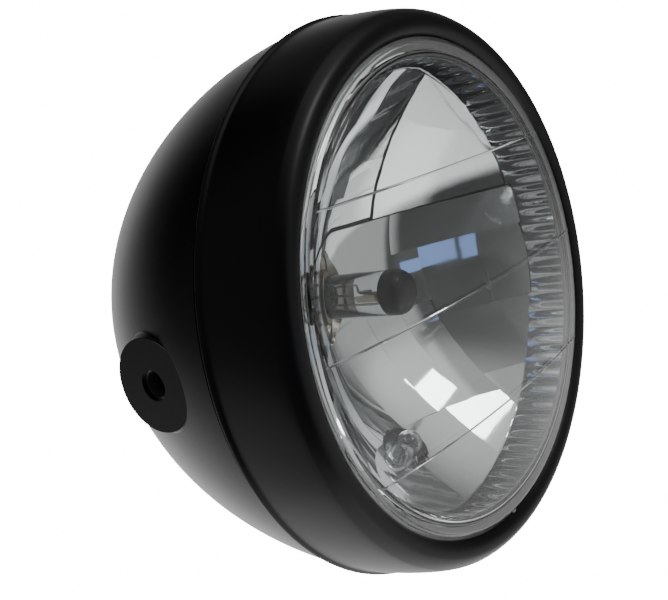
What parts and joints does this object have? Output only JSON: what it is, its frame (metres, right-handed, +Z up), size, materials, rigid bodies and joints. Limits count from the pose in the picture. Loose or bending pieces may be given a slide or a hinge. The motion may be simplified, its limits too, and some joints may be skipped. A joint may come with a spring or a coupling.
{
  "type": "motorcycle headlight",
  "caption": "Round motorcycle headlight: black side-mounted steel bowl and deep rim, clear domed lens, stepped mirror reflector with fluted skirt, coated-tip main bulb and parking bulb.",
  "frame": {"origin": "middle of the axis of the two side bolts, which is where the fork brackets hold the lamp", "axes": "the lamp shines along -Y, +Z is up, and +X points along the side-bolt axis to the right as seen from in front"},
  "size_m": [0.198, 0.1486, 0.198],
  "materials": {
    "shell_paint": "satin black paint on pressed steel",
    "rim_paint": "satin black paint on pressed steel",
    "black_screw": "black zinc on a steel screw",
    "zinc_steel": "zinc-plated steel",
    "spring_steel": "bright spring steel",
    "lens_glass": "clear pressed glass",
    "seal_cord": "dark grey sealing ring",
    "mirror_coat": "vacuum aluminium on a moulded plastic reflector",
    "bulb_metal": "nickel-plated steel cap",
    "bulb_quartz": "clear quartz glass, black coat on the main bulb's tip",
    "nickel_wire": "nickel wire and sheet",
    "tungsten": "dull tungsten coil",
    "dark_plastic": "moulded heat-proof plastic",
    "tin_brass": "tinned brass",
    "black_rubber": "soft black rubber"
  },
  "bodies": {
    "root": {"bucket": "shell_paint", "side_weld_nuts": "zinc_steel", "cable_grommet": "black_rubber", "rim": "rim_paint", "rim_hook": "zinc_steel", "rim_screw_bracket": "zinc_steel", "rim_screw_nut": "zinc_steel", "rim_screw": "black_screw", "lens": "lens_glass", "lens_seal": "seal_cord", "reflector": "mirror_coat", "optic_clips": "spring_steel", "bulb_base": "bulb_metal", "bulb_glass": "bulb_quartz", "bulb_leads": "nickel_wire", "dipped_filament": "tungsten", "driving_filament": "tungsten", "dipped_beam_shield": "nickel_wire", "bulb_insulator": "dark_plastic", "bulb_terminals": "tin_brass", "bulb_clip": "spring_steel", "bulb_clip_screws": "zinc_steel", "bulb_boot": "black_rubber", "parking_bulb_holder": "dark_plastic", "parking_bulb_glass": "bulb_quartz", "parking_bulb_filament": "tungsten", "parking_bulb_contacts": "tin_brass"}
  },
  "joints": []
}
